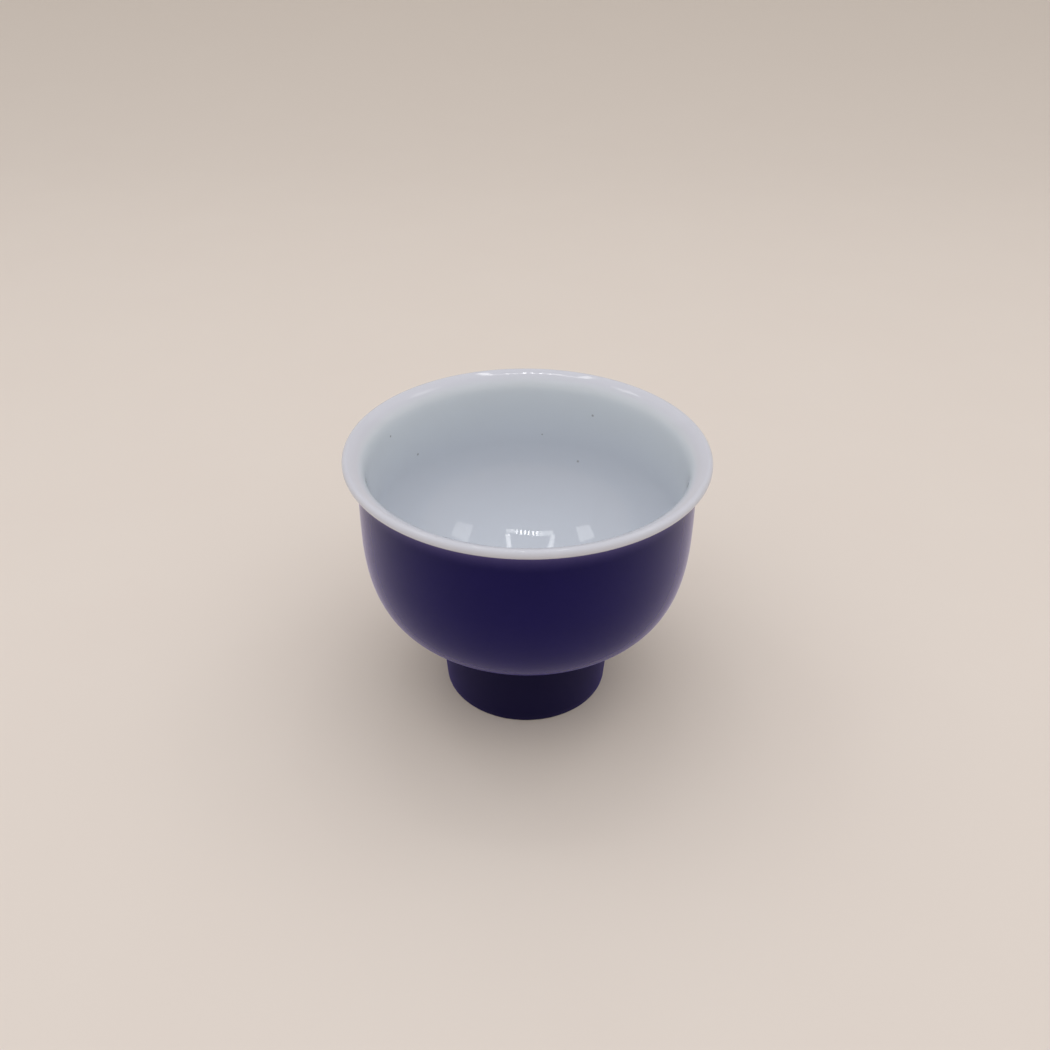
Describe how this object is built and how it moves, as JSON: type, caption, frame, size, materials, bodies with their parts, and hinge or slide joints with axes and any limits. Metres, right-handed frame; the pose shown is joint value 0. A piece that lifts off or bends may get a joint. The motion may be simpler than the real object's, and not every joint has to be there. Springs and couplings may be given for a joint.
{
  "type": "tea cup",
  "caption": "Small handle-less porcelain tea cup: white-lined bell-shaped bowl with a flared lip, blue-glazed outside, on a high hollow foot.",
  "frame": {"origin": "on the cup's axis, at the level of the foot's resting edge", "axes": "+Z along the cup's axis, from the foot to the mouth; the cup is round, so +X and +Y are free"},
  "size_m": [0.066, 0.066, 0.0526],
  "materials": {
    "porcelain": "fired white porcelain under glaze",
    "biscuit_porcelain": "bare fired porcelain, fine and matt",
    "white_glaze": "clear bluish-white glaze, glossy",
    "blue_glaze": "opaque cobalt-blue glaze, glossy"
  },
  "bodies": {
    "root": {"bowl_body": "porcelain", "foot_ring": "biscuit_porcelain", "luting_slip": "biscuit_porcelain", "white_lining_glaze": "white_glaze", "blue_outer_glaze": "blue_glaze", "base_glaze": "white_glaze"}
  },
  "joints": []
}
